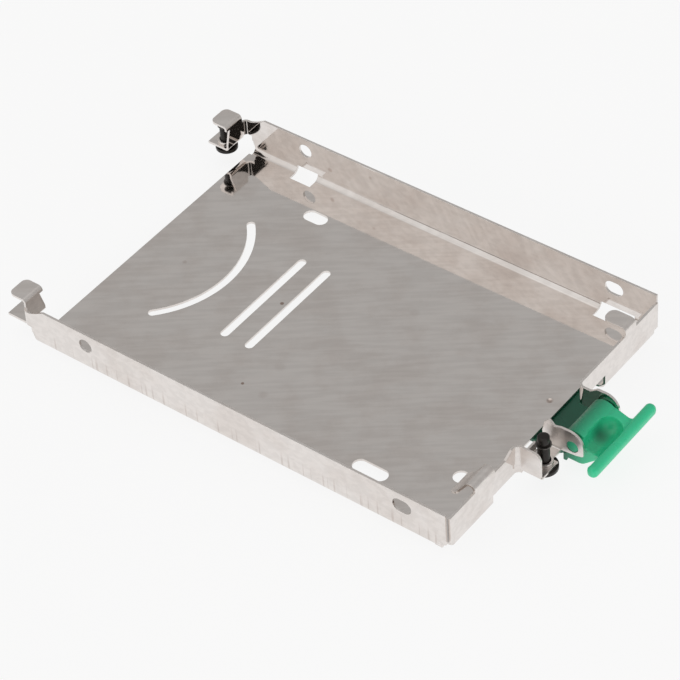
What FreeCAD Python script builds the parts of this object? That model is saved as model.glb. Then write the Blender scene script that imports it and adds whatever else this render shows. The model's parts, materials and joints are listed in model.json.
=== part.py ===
"""Hard drive caddy: a folded sheet-steel tray for a 2.5-inch drive.

Units are millimetres. +X points to the latch end, +Y to the far side wall and
+Z up. The origin is the middle of the drive seat, on the floor's top face.
"""

import FreeCAD, Part
import math
import os

V = FreeCAD.Vector

# Drive that the tray holds
DRIVE_LENGTH = 100.2
DRIVE_WIDTH = 69.85
DRIVE_HOLE_FROM_END = 14.0
DRIVE_HOLE_PITCH = 76.6
DRIVE_HOLE_HEIGHT = 6.3

# Sheet and fit, with the overshoot of cutters past a face
SHEET = 0.5
BEND_INNER = 1.4
TIGHT_BEND_INNER = 0.3
EAR_BEND_INNER = 1.0
DRIVE_SIDE_GAP = 0.075
DRIVE_FRONT_GAP = 0.3
OVERCUT = 1.0
ARC_MARGIN = 0.001
SEAM = 0.05
REAR_OVERHANG = 0.5
SIDE_WALL_TOP = 9.4

# Derived tray planes
WALL_OUT = DRIVE_WIDTH / 2 + DRIVE_SIDE_GAP + SHEET
REAR_X = -DRIVE_LENGTH / 2 - REAR_OVERHANG
FRONT_X = DRIVE_LENGTH / 2 + DRIVE_FRONT_GAP + SHEET
FLOOR_UNDER = -SHEET
BEND_OUTER = BEND_INNER + SHEET

# Corner between each side wall and the front wall
SIDE_WALL_SETBACK = 0.6
FRONT_WALL_SETBACK = 0.8
CORNER_RELIEF_TOP = 1.7
CORNER_RELIEF_SIZE = BEND_OUTER + 0.2

# Front wall and the notch behind the latch
FRONT_NEAR_TOP = 8.3
FRONT_FAR_TOP = 8.1
NOTCH_DEPTH = 4.2
NOTCH_X = FRONT_X - NOTCH_DEPTH
NOTCH_NEAR_INSET = 14.2
NOTCH_NEAR_Y = -WALL_OUT + NOTCH_NEAR_INSET
NOTCH_FAR_Y = 16.2
FREE_WALL_BOTTOM = 2.8
STEP_START_Y = -17.0
STEP_END_Y = -15.0

# Screw pocket beside the latch
POCKET_NEAR_Y = -13.5
POCKET_REACH = 5.3
POCKET_FRONT_X = FRONT_X + POCKET_REACH
POCKET_TOP = 9.5
POCKET_TOP_ROUND = 1.6
LIP_TOP = 3.5
LIP_UNDER = LIP_TOP - SHEET
LIP_OVERHANG = 0.1
LIP_FRONT_X = POCKET_FRONT_X + LIP_OVERHANG
LIP_STEP_REACH = 4.1
LIP_STEP_X = FRONT_X + LIP_STEP_REACH
LIP_STEP_Y = -7.9
LIP_REAR_GAP = 0.2
LIP_REAR_X = FRONT_X + LIP_REAR_GAP
UPSTAND_TOP = 5.5
UPSTAND_NEAR_Y = -12.0
UPSTAND_FAR_Y = -7.5

# Latch ears
EAR_NEAR_OUT_Y = -5.0
EAR_FAR_OUT_Y = 7.6
PIVOT_REACH = 6.6
PIVOT_X = FRONT_X + PIVOT_REACH
PIVOT_Z = 5.65
EAR_HOLE_R = 1.35
EAR_LOBE_SETBACK = 0.95
EAR_LOBE_X = PIVOT_X - EAR_LOBE_SETBACK
EAR_LOBE_Z = 5.95
EAR_LOBE_R = 3.4
EAR_LEAD = 1.6
EAR_LEAD_DROP = 0.1
EAR_LEAD_ROUND = 1.0
EAR_CHIN_RISE = 0.3
EAR_CHIN_ROUND = 0.5
EAR_CROWN_ROUND = 3.1
EAR_PEAK_ROUND = 0.4
EAR_LOBE_BOTTOM = 3.45
EAR_TIP_BOTTOM = 4.2
EAR_SHOULDER_TOP = 8.8
EAR_PEAK_REACH = 1.4
EAR_PEAK_X = FRONT_X + EAR_PEAK_REACH
EAR_PEAK_Z = 10.0
EAR_NOTCH_REACH = 2.6
EAR_NOTCH_X = FRONT_X + EAR_NOTCH_REACH
EAR_REAR_SETBACK = 0.15
EAR_REAR_X = FRONT_X - EAR_REAR_SETBACK
EAR_REAR_TOP = 6.4
EAR_BROW_REACH = 0.3
EAR_BROW_X = FRONT_X + EAR_BROW_REACH
EAR_BROW_Z = 8.7

# Holding tabs on top of the front wall
SPRING_TAB_INSET = 8.8
SPRING_TAB_NEAR_Y = -WALL_OUT + SPRING_TAB_INSET
SPRING_TAB_WIDTH = 6.2
SPRING_TAB_FAR_Y = SPRING_TAB_NEAR_Y + SPRING_TAB_WIDTH
SPRING_TAB_CREST = 9.7
SPRING_TAB_ROLL = 1.3
SPRING_TAB_SLOPE = 55.0
SPRING_TAB_KNEE_Z = 6.0
SPRING_TAB_KNEE_R = 1.6
SPRING_TAB_REACH = 6.0
SPRING_TAB_TIP_X = FRONT_X - SPRING_TAB_REACH
SPRING_TAB_TIP_Z = 5.1
FLAT_TAB_INSET = 8.6
FLAT_TAB_WIDTH = 3.6
FLAT_TAB_FAR_Y = WALL_OUT - FLAT_TAB_INSET
FLAT_TAB_NEAR_Y = FLAT_TAB_FAR_Y - FLAT_TAB_WIDTH
FLAT_TAB_TOP = 10.0
FLAT_TAB_REACH = 5.5
FLAT_TAB_TIP_X = FRONT_X - FLAT_TAB_REACH
FLAT_TAB_BEND = 1.2
FLAT_TAB_CORNER_R = 1.5
SPRING_TAB_CORNER_R = 2.5
TAB_ROOT_Z = 6.9

# Rear hooks, one behind each side wall
HOOK_SETBACK = 1.5
HOOK_WEB_X = REAR_X - HOOK_SETBACK
HOOK_INSET = 1.4
HOOK_OUT_Y = WALL_OUT - HOOK_INSET
HOOK_WIDTH = 5.1
HOOK_IN_Y = HOOK_OUT_Y - HOOK_WIDTH
HOOK_TOP = 9.5
HOOK_TOP_REACH = 4.4
HOOK_TOP_REAR_X = HOOK_WEB_X - HOOK_TOP_REACH
HOOK_LOW_REACH = 5.5
HOOK_LOW_REAR_X = HOOK_WEB_X - HOOK_LOW_REACH
HOOK_LIP_BEND = 0.4
HOOK_ARM_BEND = 0.75
HOOK_ARM_LOW = 3.9
HOOK_ARM_TOP = 7.5
HOOK_CORNER_R = 1.3
HOOK_WEB_TAPER = 1.0
HOOK_LEAN_LOW = 4.5
HOOK_LEAN_TOP = 8.3
NEAR_HOOK_SHIFT = 0.5
WALL_DIP_LENGTH = 3.7
WALL_DIP_START_X = REAR_X + WALL_DIP_LENGTH
WALL_DIP_KNEE = 1.4
WALL_DIP_MID_X = REAR_X + WALL_DIP_KNEE
WALL_DIP_RISE = 0.6
WALL_DIP_ROUNDS = (1.5, 2.0)
WALL_FOOT_RISE = 0.8
WALL_FOOT_CUT = 0.7
WALL_FOOT_LEAN = 0.2
WALL_REAR_LOW = 2.6

# Captive screws
SHANK_R = 1.3
SHANK_CLEARANCE = 0.1
COLLAR_R = 1.85
COLLAR_HEIGHT = 0.75
SCREW_HEAD_R = 2.85
SCREW_HEAD_HEIGHT = 0.8
SCREW_HEAD_EDGE = 0.25
FRONT_SCREW_LENGTH = 7.45
REAR_SCREW_LENGTH = 5.9
SCREW_TIP_CHAMFER = 0.3
HEAD_SEAT_GAP = 0.05
RING_GROOVE_R = 1.0
RING_HEIGHT_ON_SHANK = 5.2
RING_THICKNESS = 0.26
RING_OUT_R = 1.55
RING_CLEARANCE = 0.02
DRIVER_SLOT_LENGTH = 2.6
DRIVER_SLOT_WIDTH = 0.6
DRIVER_SLOT_DEPTH = 0.4
FRONT_SCREW_REACH = 3.2
FRONT_SCREW_X = FRONT_X + FRONT_SCREW_REACH
FRONT_SCREW_Y = -9.4
REAR_SCREW_SETBACK = 2.4
REAR_SCREW_X = HOOK_WEB_X - REAR_SCREW_SETBACK
REAR_SCREW_INSET = 2.9
REAR_SCREW_Y = HOOK_OUT_Y - REAR_SCREW_INSET
REAR_SCREW_DROP = 0.4

# Floor and wall cut-outs
SIDE_HOLE_R = 1.6
SIDE_SLOT_LENGTH = 4.3
FLOOR_SLOT_W = 1.9
FLOOR_SLOT_LENGTH = 26.8
FLOOR_SLOT_INSET = 30.4
FLOOR_SLOT_PITCH = 6.2
FLOOR_SLOT_XS = (REAR_X + FLOOR_SLOT_INSET, REAR_X + FLOOR_SLOT_INSET + FLOOR_SLOT_PITCH)
ARC_CENTRE_SETBACK = 2.0
ARC_CENTRE_X = REAR_X - ARC_CENTRE_SETBACK
ARC_R = 22.9
ARC_W = 1.8
ARC_HALF_ANGLE = 44.0
OBROUND_W = 3.2
FAR_OBROUND_INSETS = (24.35, 10.5)
FAR_OBROUND_LENGTH = 5.6
NEAR_OBROUND_INSETS = (24.6, 8.9)
NEAR_OBROUND_LENGTH = 7.9
ROUND_HOLE_INSET = 9.4
ROUND_HOLE_Y = -18.5
ROUND_HOLE_R = 1.6
WINDOW_DEPTH = 3.5
WINDOW_FLOOR_Y = WALL_OUT - WINDOW_DEPTH
WINDOW_TOP = 1.4
REAR_WINDOW_INSETS = (12.0, 17.4)
FRONT_WINDOW_INSETS = (13.5, 5.5)
DIMPLE_INSET = 7.0
DIMPLE_Y = 7.5
DIMPLE_BALL_R = 1.0
DIMPLE_DEPTH = 0.2

# Latch lever
LEVER_NEAR_Y = -3.7
LEVER_FAR_Y = 6.4
BARREL_R = 2.85
BOSS_R = 2.1
BOSS_GAP = 0.1
PIN_CLEARANCE = 0.05
PIN_R = EAR_HOLE_R - PIN_CLEARANCE
PIN_INSET = 0.05
GRIP_REACH = 6.7
GRIP_X = PIVOT_X + GRIP_REACH
GRIP_Z = 5.65
GRIP_LENGTH = 21.4
GRIP_THICK = 2.3
GRIP_HEIGHT = 2.6
GRIP_ROUND = 1.1
GRIP_MID_Y = 1.6
WEB_BITE = 0.4
WEB_BROW_ANGLE = math.radians(35)
WEB_BROW_ROUND = 1.2
BELLY_Z = 0.5
BELLY_REAR_SETBACK = 2.7
BELLY_REAR_X = PIVOT_X - BELLY_REAR_SETBACK
BELLY_FRONT_REACH = 1.3
BELLY_FRONT_X = PIVOT_X + BELLY_FRONT_REACH
BELLY_ROUND = 0.5
BELLY_FRONT_ROUND = 2.0
NEAR_FLARE_R = 2.2
FAR_FLARE_R = 1.0
SCOOP_R = 2.8
SCOOP_REACH = 4.1
SCOOP_X = PIVOT_X + SCOOP_REACH
SCOOP_Z = 8.7
SCOOP_NEAR_Y = -1.2
SCOOP_FAR_Y = 0.9
TAIL_TOP = -0.8
TAIL_THICK = 1.0
TAIL_LENGTH = 13.1
TAIL_REAR_X = PIVOT_X - TAIL_LENGTH
TAIL_NEAR_Y = -2.1
TAIL_FAR_Y = 16.2
TAIL_NECK_SETBACK = 5.5
TAIL_NECK_X = PIVOT_X - TAIL_NECK_SETBACK
TAIL_FLARE_SETBACK = 8.3
TAIL_FLARE_X = PIVOT_X - TAIL_FLARE_SETBACK
TAIL_FLARE_START = 2.0
TAIL_TIP_LENGTH = 2.0
TAIL_TIP_SLANT = 1.2
TAIL_ROOT_RISE = 1.4
TAIL_BEND = 0.8
TAIL_CORNER_R = 0.6
NIB_SETBACK = 2.6
NIB_X = PIVOT_X - NIB_SETBACK
NIB_WIDTH = 0.8
NIB_BOTTOM = -0.5


def corner_edges(points, radii, closed):
    """Edges of a 2-D path whose corners are rounded; (kind, points) pairs."""
    count = len(points)
    cuts = []
    for i in range(count):
        here = points[i]
        radius = radii[i]
        if radius <= 0 or (not closed and i in (0, count - 1)):
            cuts.append((here, None, here))
            continue
        before = points[i - 1]
        after = points[(i + 1) % count]
        a = (before[0] - here[0], before[1] - here[1])
        b = (after[0] - here[0], after[1] - here[1])
        la = math.hypot(*a)
        lb = math.hypot(*b)
        a = (a[0] / la, a[1] / la)
        b = (b[0] / lb, b[1] / lb)
        half = math.acos(max(-1.0, min(1.0, a[0] * b[0] + a[1] * b[1]))) / 2
        reach = radius / math.tan(half)
        mid = (a[0] + b[0], a[1] + b[1])
        lm = math.hypot(*mid)
        mid = (mid[0] / lm, mid[1] / lm)
        depth = radius / math.sin(half) - radius
        start = (here[0] + a[0] * reach, here[1] + a[1] * reach)
        end = (here[0] + b[0] * reach, here[1] + b[1] * reach)
        cuts.append((start, (here[0] + mid[0] * depth, here[1] + mid[1] * depth), end))
    edges = []
    spans = count if closed else count - 1
    for i in range(count):
        start, mid, end = cuts[i]
        if mid is not None:
            edges.append(("arc", start, mid, end))
        if i < spans:
            following = cuts[(i + 1) % count][0]
            if math.hypot(following[0] - end[0], following[1] - end[1]) > 1e-6:
                edges.append(("line", end, following))
    return edges


def place(plane, at, point):
    """3-D point of a 2-D one: plane YZ, XZ or XY at its own offset."""
    if plane == "YZ":
        return V(at, point[0], point[1])
    if plane == "XZ":
        return V(point[0], at, point[1])
    return V(point[0], point[1], at)


def prism(plane, start, end, edges):
    """Solid between two offsets of a plane, from closed 2-D edges."""
    shapes = []
    for edge in edges:
        pts = [place(plane, start, p) for p in edge[1:]]
        if edge[0] == "line":
            shapes.append(Part.makeLine(pts[0], pts[1]))
        else:
            shapes.append(Part.Arc(pts[0], pts[1], pts[2]).toShape())
    face = Part.Face(Part.Wire(Part.__sortEdges__(shapes)))
    return face.extrude(place(plane, end, (0, 0)) - place(plane, start, (0, 0)))


def plate(plane, start, end, points, radii=None):
    """Flat plate with the given outline and corner radii."""
    radii = radii or [0] * len(points)
    return prism(plane, start, end, corner_edges(points, radii, True))


def folded(plane, start, end, path, inner_radii):
    """Folded sheet: the path is one face, and the sheet lies on its left."""
    other = []
    face_radii = [0] * len(path)
    back_radii = [0] * len(path)
    for i, here in enumerate(path):
        normals = []
        headings = []
        for a, b in ((i - 1, i), (i, i + 1)):
            if a < 0 or b >= len(path):
                continue
            dx = path[b][0] - path[a][0]
            dy = path[b][1] - path[a][1]
            length = math.hypot(dx, dy)
            headings.append((dx / length, dy / length))
            normals.append((-dy / length, dx / length))
        if len(normals) == 1:
            shift = normals[0]
        else:
            sx = normals[0][0] + normals[1][0]
            sy = normals[0][1] + normals[1][1]
            scale = 2 / (sx * sx + sy * sy)
            shift = (sx * scale, sy * scale)
            turn = headings[0][0] * headings[1][1] - headings[0][1] * headings[1][0]
            face_radii[i] = inner_radii[i] + (SHEET if turn > 0 else 0)
            back_radii[i] = inner_radii[i] + (0 if turn > 0 else SHEET)
        other.append((here[0] + shift[0] * SHEET, here[1] + shift[1] * SHEET))
    edges = corner_edges(path, face_radii, False)
    edges += corner_edges(other, back_radii, False)
    edges.append(("line", path[0], other[0]))
    edges.append(("line", path[-1], other[-1]))
    return prism(plane, start, end, edges)


def box(x0, x1, y0, y1, z0, z1):
    """Box between opposite corners."""
    return Part.makeBox(x1 - x0, y1 - y0, z1 - z0, V(x0, y0, z0))


def cylinder(radius, height, base, axis=V(0, 0, 1)):
    """Cylinder from its base point along an axis."""
    return Part.makeCylinder(radius, height, base, axis)


def obround(x, y, length, width):
    """Cutter for a round-ended slot through the floor; length along X, width along Y."""
    x0 = x - length / 2
    x1 = x + length / 2
    y0 = y - width / 2
    y1 = y + width / 2
    radius = min(length, width) / 2 - ARC_MARGIN
    corners = [(x0, y0), (x1, y0), (x1, y1), (x0, y1)]
    return plate("XY", FLOOR_UNDER - OVERCUT, OVERCUT, corners, [radius] * 4)


def mirrored(shape):
    """Copy on the other side of the tray's long mid plane."""
    return shape.mirror(V(0, 0, 0), V(0, 1, 0))


def channel():
    """Floor and both side walls with their long bends."""
    path = [(-WALL_OUT, SIDE_WALL_TOP), (-WALL_OUT, FLOOR_UNDER),
            (WALL_OUT, FLOOR_UNDER), (WALL_OUT, SIDE_WALL_TOP)]
    shape = folded("YZ", REAR_X, FRONT_X - SIDE_WALL_SETBACK, path, [0, BEND_INNER, BEND_INNER, 0])
    low = FLOOR_UNDER - OVERCUT
    shape = shape.cut(box(NOTCH_X, FRONT_X + OVERCUT, NOTCH_NEAR_Y, NOTCH_FAR_Y, low, OVERCUT))
    trim_x = FRONT_X - BEND_OUTER
    inner_y = WALL_OUT - BEND_OUTER
    return shape.cut(box(trim_x, FRONT_X, -inner_y, inner_y, low, OVERCUT))


def front_wall(y0, y1, top):
    """Stretch of front wall with its bend into the floor."""
    path = [(FRONT_X - 2 * BEND_OUTER, FLOOR_UNDER), (FRONT_X, FLOOR_UNDER), (FRONT_X, top)]
    return folded("XZ", y0, y1, path, [0, BEND_INNER, 0])


def near_front():
    """Near stretch of front wall and the screw pocket folded out of it."""
    start = -WALL_OUT + FRONT_WALL_SETBACK
    wall = front_wall(start, NOTCH_NEAR_Y, FRONT_NEAR_TOP)
    path = [(FRONT_X, NOTCH_NEAR_Y), (FRONT_X, POCKET_NEAR_Y), (POCKET_FRONT_X, POCKET_NEAR_Y)]
    arm = folded("XY", FREE_WALL_BOTTOM, POCKET_TOP, path, [0, EAR_BEND_INNER, 0])
    step = [(NOTCH_NEAR_Y - OVERCUT, FRONT_NEAR_TOP), (STEP_START_Y, FRONT_NEAR_TOP),
            (STEP_END_Y, SIDE_WALL_TOP), (STEP_END_Y, POCKET_TOP + OVERCUT),
            (NOTCH_NEAR_Y - OVERCUT, POCKET_TOP + OVERCUT)]
    arm = arm.cut(plate("YZ", FRONT_X - OVERCUT, FRONT_X + SEAM, step))
    inside = POCKET_FRONT_X - 2 * OVERCUT
    outside = POCKET_FRONT_X + OVERCUT
    crown = [(inside, POCKET_TOP), (POCKET_FRONT_X, POCKET_TOP), (POCKET_FRONT_X, 0), (outside, 0),
             (outside, POCKET_TOP + OVERCUT), (inside, POCKET_TOP + OVERCUT)]
    rounding = [0, POCKET_TOP_ROUND, 0, 0, 0, 0]
    arm = arm.cut(plate("XZ", POCKET_NEAR_Y - OVERCUT, POCKET_NEAR_Y + OVERCUT, crown, rounding))
    arm = arm.cut(box(FRONT_X + EAR_BEND_INNER, outside, POCKET_NEAR_Y - OVERCUT,
                      POCKET_NEAR_Y + OVERCUT, 0, LIP_TOP + TIGHT_BEND_INNER))
    return wall.fuse(arm)


def ear_outline(rear):
    """Outline of an ear in XZ, starting from its own rear points."""
    tip_x = EAR_LOBE_X + EAR_LOBE_R
    top = EAR_LOBE_Z + EAR_LOBE_R
    lobe = [(EAR_LOBE_X - EAR_LEAD, top - EAR_LEAD_DROP), (tip_x, top), (tip_x, EAR_TIP_BOTTOM),
            (tip_x - EAR_LEAD, EAR_LOBE_BOTTOM + EAR_CHIN_RISE), (LIP_STEP_X, EAR_LOBE_BOTTOM)]
    return rear + lobe, [0] * len(rear) + [EAR_LEAD_ROUND, EAR_CROWN_ROUND, EAR_CHIN_ROUND, 0, 0]


def screw_pocket():
    """Lip under the captive screw, its upstand, collar and the near ear."""
    path = [(POCKET_NEAR_Y, POCKET_TOP - POCKET_TOP_ROUND), (POCKET_NEAR_Y, LIP_UNDER),
            (EAR_NEAR_OUT_Y + SHEET, LIP_UNDER), (EAR_NEAR_OUT_Y + SHEET, EAR_PEAK_Z)]
    cradle = folded("YZ", LIP_REAR_X, LIP_FRONT_X, path, [0, TIGHT_BEND_INNER, TIGHT_BEND_INNER, 0])
    rear_x = LIP_REAR_X - OVERCUT
    front_x = LIP_FRONT_X + OVERCUT
    near_y = POCKET_NEAR_Y - OVERCUT
    top = EAR_PEAK_Z + OVERCUT
    cradle = cradle.cut([
        box(rear_x, FRONT_X + EAR_BEND_INNER, near_y, UPSTAND_NEAR_Y, 0, top),
        box(LIP_STEP_X, front_x, LIP_STEP_Y, EAR_NEAR_OUT_Y + OVERCUT, 0, top),
        box(POCKET_FRONT_X, front_x, near_y, POCKET_NEAR_Y + SHEET + SEAM, LIP_TOP, top),
        box(rear_x, front_x, EAR_NEAR_OUT_Y - SEAM, EAR_NEAR_OUT_Y + SHEET + OVERCUT,
            LIP_TOP + TIGHT_BEND_INNER, top)])
    rear = [(LIP_REAR_X, LIP_TOP), (EAR_REAR_X, EAR_REAR_TOP), (EAR_BROW_X, EAR_BROW_Z),
            (EAR_PEAK_X, EAR_PEAK_Z), (EAR_NOTCH_X, EAR_SHOULDER_TOP)]
    points, radii = ear_outline(rear)
    radii[rear.index((EAR_PEAK_X, EAR_PEAK_Z))] = EAR_PEAK_ROUND
    ear = plate("XZ", EAR_NEAR_OUT_Y, EAR_NEAR_OUT_Y + SHEET, points, radii)
    path = [(LIP_REAR_X - SHEET, UPSTAND_TOP), (LIP_REAR_X - SHEET, LIP_UNDER), (FRONT_SCREW_X, LIP_UNDER)]
    upstand = folded("XZ", UPSTAND_NEAR_Y, UPSTAND_FAR_Y, path, [0, TIGHT_BEND_INNER, 0])
    collar = cylinder(COLLAR_R, COLLAR_HEIGHT + SEAM, V(FRONT_SCREW_X, FRONT_SCREW_Y, LIP_TOP - SEAM))
    return cradle.fuse([ear, upstand, collar])


def far_front():
    """Far stretch of front wall with the far ear folded out of its end."""
    end = WALL_OUT - FRONT_WALL_SETBACK
    wall = front_wall(NOTCH_FAR_Y, end, FRONT_FAR_TOP)
    tip_x = EAR_LOBE_X + EAR_LOBE_R + OVERCUT
    path = [(tip_x, EAR_FAR_OUT_Y), (FRONT_X, EAR_FAR_OUT_Y), (FRONT_X, NOTCH_FAR_Y)]
    arm = folded("XY", FREE_WALL_BOTTOM, EAR_LOBE_Z + EAR_LOBE_R, path, [0, EAR_BEND_INNER, 0])
    inside = FRONT_X - OVERCUT
    rear = [(inside, EAR_LOBE_BOTTOM), (inside, FRONT_FAR_TOP), (EAR_NOTCH_X, FRONT_FAR_TOP)]
    points, radii = ear_outline(rear)
    blank = plate("XZ", EAR_FAR_OUT_Y - OVERCUT, NOTCH_FAR_Y + OVERCUT, points, radii)
    return wall.fuse(arm.common(blank))


def spring_tab():
    """Sprung tab that rolls over the top of the near front wall."""
    centre_z = SPRING_TAB_CREST - SPRING_TAB_ROLL
    half = math.radians(90 - SPRING_TAB_SLOPE) / 2
    apex_z = centre_z + SPRING_TAB_ROLL / math.tan(half)
    knee_x = FRONT_X - (apex_z - SPRING_TAB_KNEE_Z) * math.tan(2 * half)
    path = [(FRONT_X, TAB_ROOT_Z), (FRONT_X, apex_z), (knee_x, SPRING_TAB_KNEE_Z),
            (SPRING_TAB_TIP_X, SPRING_TAB_TIP_Z)]
    radii = [0, SPRING_TAB_ROLL - SHEET, SPRING_TAB_KNEE_R, 0]
    tab = folded("XZ", SPRING_TAB_NEAR_Y, SPRING_TAB_FAR_Y, path, radii)
    end_x = SPRING_TAB_TIP_X - OVERCUT
    outline = [(end_x, SPRING_TAB_NEAR_Y), (FRONT_X, SPRING_TAB_NEAR_Y),
               (FRONT_X, SPRING_TAB_FAR_Y), (end_x, SPRING_TAB_FAR_Y)]
    radii = [SPRING_TAB_CORNER_R, 0, 0, SPRING_TAB_CORNER_R]
    return tab.common(plate("XY", 0, 2 * SPRING_TAB_CREST, outline, radii))


def flat_tab():
    """Level tab that reaches over the drive's far front corner."""
    path = [(FRONT_X, TAB_ROOT_Z), (FRONT_X, FLAT_TAB_TOP), (FLAT_TAB_TIP_X, FLAT_TAB_TOP)]
    tab = folded("XZ", FLAT_TAB_NEAR_Y, FLAT_TAB_FAR_Y, path, [0, FLAT_TAB_BEND - SHEET, 0])
    outline = [(FLAT_TAB_TIP_X, FLAT_TAB_NEAR_Y), (FRONT_X, FLAT_TAB_NEAR_Y),
               (FRONT_X, FLAT_TAB_FAR_Y), (FLAT_TAB_TIP_X, FLAT_TAB_FAR_Y)]
    radii = [FLAT_TAB_CORNER_R, 0, 0, FLAT_TAB_CORNER_R]
    return tab.common(plate("XY", 0, 2 * FLAT_TAB_TOP, outline, radii))


def rear_hook(shift):
    """C-shaped hook behind the near side wall, open to the rear."""
    out_y = -HOOK_OUT_Y - shift
    in_y = -HOOK_IN_Y - shift
    path = [(HOOK_LOW_REAR_X, LIP_UNDER), (HOOK_WEB_X, LIP_UNDER), (HOOK_WEB_X, HOOK_TOP),
            (HOOK_TOP_REAR_X, HOOK_TOP)]
    hook = folded("XZ", out_y, in_y, path, [0, HOOK_LIP_BEND, HOOK_LIP_BEND, 0])
    lean = [(in_y, HOOK_LEAN_LOW), (in_y - HOOK_WEB_TAPER, HOOK_LEAN_TOP), (in_y, HOOK_LEAN_TOP)]
    hook = hook.cut(plate("YZ", HOOK_WEB_X - SHEET - SEAM, HOOK_WEB_X + SEAM, lean))
    top = [(HOOK_TOP_REAR_X, out_y), (0, out_y), (0, in_y), (HOOK_TOP_REAR_X, in_y)]
    low = [(HOOK_LOW_REAR_X, out_y), (0, out_y), (0, in_y), (HOOK_LOW_REAR_X, in_y)]
    split = (LIP_TOP + HOOK_TOP) / 2
    radii = [HOOK_CORNER_R, 0, 0, HOOK_CORNER_R]
    upper = hook.common(plate("XY", split, HOOK_TOP + OVERCUT, top, radii))
    lower = hook.common(plate("XY", 0, split, low))
    path = [(HOOK_WEB_X - SHEET, in_y - 2 * HOOK_WEB_TAPER), (HOOK_WEB_X - SHEET, -WALL_OUT),
            (REAR_X + OVERCUT, -WALL_OUT)]
    arm = folded("XY", HOOK_ARM_LOW, HOOK_ARM_TOP, path, [0, HOOK_ARM_BEND, 0])
    return upper.fuse([lower, arm])


def wall_dip():
    """Cutter that lowers the rear end of a side wall's top and rounds its foot."""
    behind = REAR_X - 2 * OVERCUT
    above = SIDE_WALL_TOP + OVERCUT
    points = [(WALL_DIP_START_X, SIDE_WALL_TOP), (WALL_DIP_MID_X, HOOK_ARM_TOP + WALL_DIP_RISE),
              (REAR_X, HOOK_ARM_TOP), (behind, HOOK_ARM_TOP), (behind, above), (WALL_DIP_START_X, above)]
    radii = [0, WALL_DIP_ROUNDS[0], WALL_DIP_ROUNDS[1], 0, 0, 0]
    dip = plate("XZ", -WALL_OUT - OVERCUT, -WALL_OUT + OVERCUT, points, radii)
    low = FLOOR_UNDER - OVERCUT
    foot = [(REAR_X - SEAM, low), (REAR_X + WALL_FOOT_CUT, low), (REAR_X + WALL_FOOT_CUT, WALL_FOOT_RISE),
            (REAR_X + WALL_FOOT_LEAN, WALL_REAR_LOW), (REAR_X - SEAM, WALL_REAR_LOW)]
    return dip.fuse(plate("XZ", -WALL_OUT - OVERCUT, -WALL_OUT + BEND_OUTER, foot))


def corner_reliefs():
    """Cutters that open the two lower front corners."""
    near = box(FRONT_X - CORNER_RELIEF_SIZE, FRONT_X + OVERCUT, -WALL_OUT - OVERCUT,
               -WALL_OUT + CORNER_RELIEF_SIZE, FLOOR_UNDER - OVERCUT, CORNER_RELIEF_TOP)
    return [near, mirrored(near)]


def wall_cutters():
    """Side screw holes, slots and the windows through the far bend."""
    rear_x = -DRIVE_LENGTH / 2 + DRIVE_HOLE_FROM_END
    front_x = rear_x + DRIVE_HOLE_PITCH
    reach = 2 * (WALL_OUT + OVERCUT)
    tools = [cylinder(SIDE_HOLE_R, reach, V(rear_x, -reach / 2, DRIVE_HOLE_HEIGHT), V(0, 1, 0))]
    half = SIDE_SLOT_LENGTH / 2
    low = DRIVE_HOLE_HEIGHT - SIDE_HOLE_R
    top = DRIVE_HOLE_HEIGHT + SIDE_HOLE_R
    points = [(front_x - half, low), (front_x + half, low), (front_x + half, top), (front_x - half, top)]
    tools.append(plate("XZ", -reach / 2, reach / 2, points, [SIDE_HOLE_R - ARC_MARGIN] * 4))
    windows = ([REAR_X + inset for inset in REAR_WINDOW_INSETS],
               [FRONT_X - inset for inset in FRONT_WINDOW_INSETS])
    for x0, x1 in windows:
        tools.append(box(x0, x1, WINDOW_FLOOR_Y, WALL_OUT + OVERCUT, FLOOR_UNDER - OVERCUT, WINDOW_TOP))
    return tools


def floor_cutters():
    """Every cut-out of the floor."""
    tools = [obround(REAR_X + FAR_OBROUND_INSETS[0], WALL_OUT - FAR_OBROUND_INSETS[1],
                     FAR_OBROUND_LENGTH, OBROUND_W),
             obround(FRONT_X - NEAR_OBROUND_INSETS[0], -WALL_OUT + NEAR_OBROUND_INSETS[1],
                     NEAR_OBROUND_LENGTH, OBROUND_W)]
    tools += [obround(x, 0, FLOOR_SLOT_W, FLOOR_SLOT_LENGTH) for x in FLOOR_SLOT_XS]
    depth = SHEET + 2 * OVERCUT
    low = FLOOR_UNDER - OVERCUT
    tools.append(cylinder(ROUND_HOLE_R, depth, V(FRONT_X - ROUND_HOLE_INSET, ROUND_HOLE_Y, low)))
    base = V(ARC_CENTRE_X, 0, low)
    sweep = 2 * ARC_HALF_ANGLE
    outer = Part.makeCylinder(ARC_R + ARC_W / 2, depth, base, V(0, 0, 1), sweep)
    inner = Part.makeCylinder(ARC_R - ARC_W / 2, depth, base, V(0, 0, 1), sweep)
    band = outer.cut(inner)
    band.rotate(base, V(0, 0, 1), -ARC_HALF_ANGLE)
    ends = []
    for side in (-1, 1):
        angle = math.radians(side * ARC_HALF_ANGLE)
        centre = base + V(ARC_R * math.cos(angle), ARC_R * math.sin(angle), 0)
        ends.append(cylinder(ARC_W / 2, depth, centre))
    tools.append(band.fuse(ends))
    dimple = V(FRONT_X - DIMPLE_INSET, DIMPLE_Y, DIMPLE_BALL_R - DIMPLE_DEPTH)
    tools.append(Part.makeSphere(DIMPLE_BALL_R, dimple))
    return tools


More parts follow.
